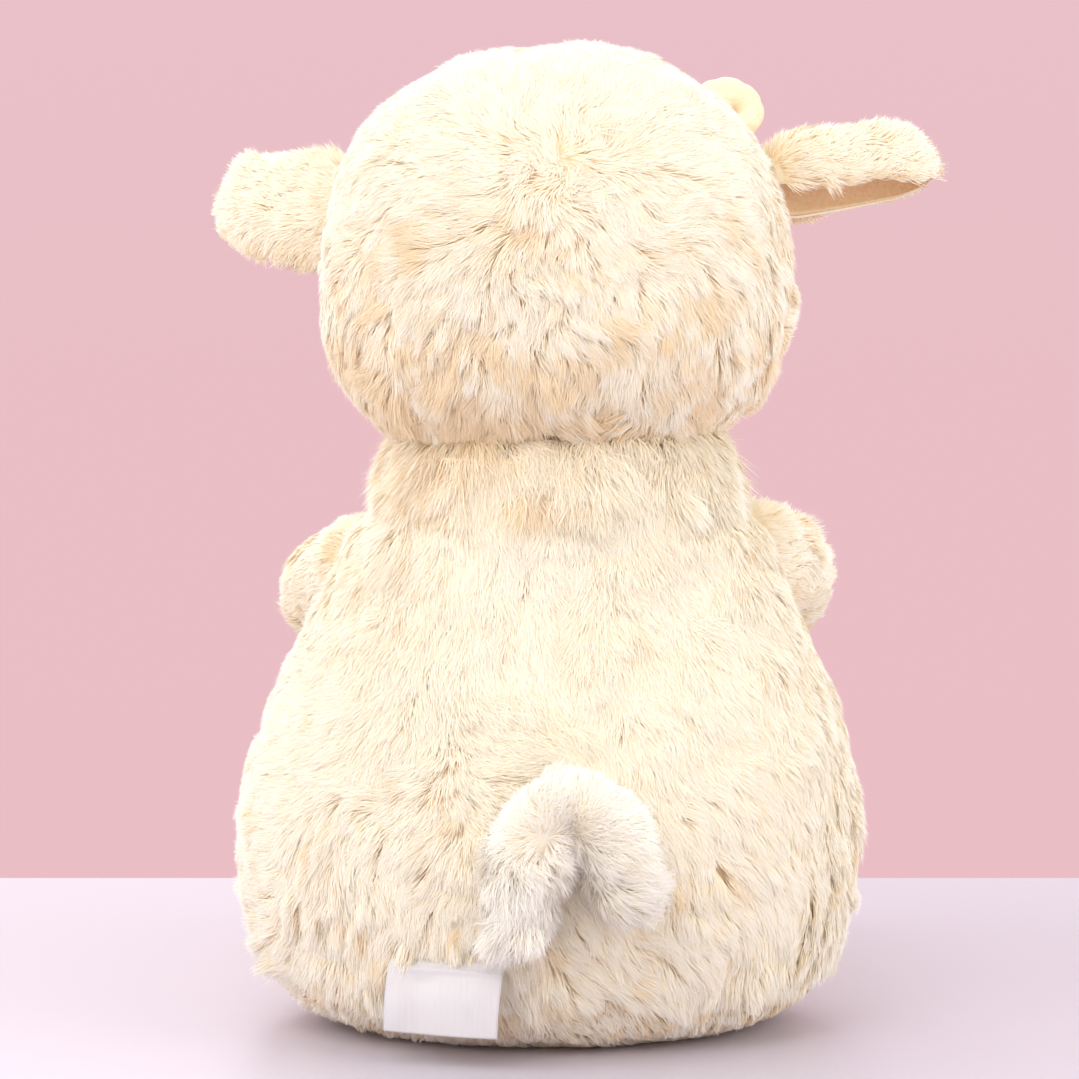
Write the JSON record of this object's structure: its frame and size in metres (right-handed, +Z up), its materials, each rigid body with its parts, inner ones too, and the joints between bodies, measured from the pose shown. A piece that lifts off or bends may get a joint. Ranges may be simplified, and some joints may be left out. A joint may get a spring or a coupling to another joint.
{
  "type": "plush sheep toy",
  "caption": "Seated plush sheep: fur cloth body, head, arms, legs, ears and tail over fibre filling, with a smooth face, horns and hooves.",
  "frame": {"origin": "centre of the flat rest face under the base panel", "axes": "+Z up through the head, -Y the way the toy's body faces, +X the toy's left"},
  "size_m": [0.2212, 0.2548, 0.2931],
  "materials": {
    "fur_cloth": "matte",
    "tail_fur": "matte",
    "smooth_cloth": "matte",
    "horn_cloth": "matte",
    "fibre_filling": "matte",
    "pellets": "matte",
    "thread": "satin",
    "eye_plastic": "gloss",
    "washer_plastic": "matte",
    "label_satin": "satin"
  },
  "bodies": {
    "torso": {"body_back_left": "fur_cloth", "body_back_right": "fur_cloth", "body_belly": "fur_cloth", "base_panel": "fur_cloth", "body_stuffing": "fibre_filling", "pellet_bag": "pellets"},
    "neck": {"neck_seam_thread": "thread"},
    "head": {"head_back_left": "fur_cloth", "head_back_right": "fur_cloth", "face_panel": "smooth_cloth", "head_stuffing": "fibre_filling", "muzzle_cover": "smooth_cloth", "muzzle_stuffing": "fibre_filling", "nose": "thread", "mouth_stitch": "thread", "eye_left": "eye_plastic", "eye_washer_left": "washer_plastic", "horn_cover_left": "horn_cloth", "horn_stuffing_left": "fibre_filling", "eye_right": "eye_plastic", "eye_washer_right": "washer_plastic", "horn_cover_right": "horn_cloth", "horn_stuffing_right": "fibre_filling"},
    "tail": {"tail_cover": "tail_fur", "tail_stuffing": "fibre_filling"},
    "label": {"care_label": "label_satin"},
    "ear_left": {"ear_outer_left": "fur_cloth", "ear_lining_left": "smooth_cloth"},
    "arm_left": {"arm_cover_left": "fur_cloth", "arm_hoof_left": "smooth_cloth", "arm_stuffing_left": "fibre_filling"},
    "leg_left": {"leg_cover_left": "fur_cloth", "leg_hoof_left": "smooth_cloth", "leg_stuffing_left": "fibre_filling"},
    "ear_right": {"ear_outer_right": "fur_cloth", "ear_lining_right": "smooth_cloth"},
    "arm_right": {"arm_cover_right": "fur_cloth", "arm_hoof_right": "smooth_cloth", "arm_stuffing_right": "fibre_filling"},
    "leg_right": {"leg_cover_right": "fur_cloth", "leg_hoof_right": "smooth_cloth", "leg_stuffing_right": "fibre_filling"}
  },
  "joints": [
    {"name": "neck_nod", "type": "hinge", "parent": "torso", "child": "neck", "pos_m": [-0.003, 0, 0.146], "axis": [0.9872, -0.1387, -0.0785], "range_deg": [-8, 8], "stiffness_Nm_per_rad": 0.5},
    {"name": "neck_turn", "type": "hinge", "parent": "neck", "child": "head", "pos_m": [-0.003, 0, 0.146], "axis": [-0.04, 0, 0.9992], "range_deg": [-25, 25], "stiffness_Nm_per_rad": 0.3},
    {"name": "ear_left_flap", "type": "hinge", "parent": "head", "child": "ear_left", "pos_m": [0.06779, -0.04431, 0.23968], "axis": [-0.5864, -0.8092, 0.0368], "range_deg": [-20, 20], "stiffness_Nm_per_rad": 0.01},
    {"name": "ear_right_flap", "type": "hinge", "parent": "head", "child": "ear_right", "pos_m": [-0.07749, -0.02388, 0.25123], "axis": [0.3406, -0.9395, -0.0368], "range_deg": [-20, 20], "stiffness_Nm_per_rad": 0.01},
    {"name": "arm_left_swing", "type": "hinge", "parent": "torso", "child": "arm_left", "pos_m": [0.0546, -0.046, 0.1295], "axis": [1, 0, 0], "range_deg": [-30, 4], "stiffness_Nm_per_rad": 0.1},
    {"name": "arm_right_swing", "type": "hinge", "parent": "torso", "child": "arm_right", "pos_m": [-0.0594, -0.046, 0.133], "axis": [1, 0, 0], "range_deg": [-30, 4], "stiffness_Nm_per_rad": 0.1},
    {"name": "leg_left_swing", "type": "hinge", "parent": "torso", "child": "leg_left", "pos_m": [0.043, -0.0775, 0.027], "axis": [1, 0, 0], "range_deg": [-25, 0], "stiffness_Nm_per_rad": 0.1},
    {"name": "leg_right_swing", "type": "hinge", "parent": "torso", "child": "leg_right", "pos_m": [-0.043, -0.0775, 0.027], "axis": [1, 0, 0], "range_deg": [-25, 0], "stiffness_Nm_per_rad": 0.1},
    {"name": "tail_wag", "type": "hinge", "parent": "torso", "child": "tail", "pos_m": [-0.006, 0.0795, 0.077], "axis": [0, 1, 0], "range_deg": [-20, 20], "stiffness_Nm_per_rad": 0.01},
    {"name": "label_flap", "type": "hinge", "parent": "torso", "child": "label", "pos_m": [0.029, 0.0737, 0.031], "axis": [0.9305, -0.3662, 0], "range_deg": [0, 60], "stiffness_Nm_per_rad": 0.0002}
  ]
}
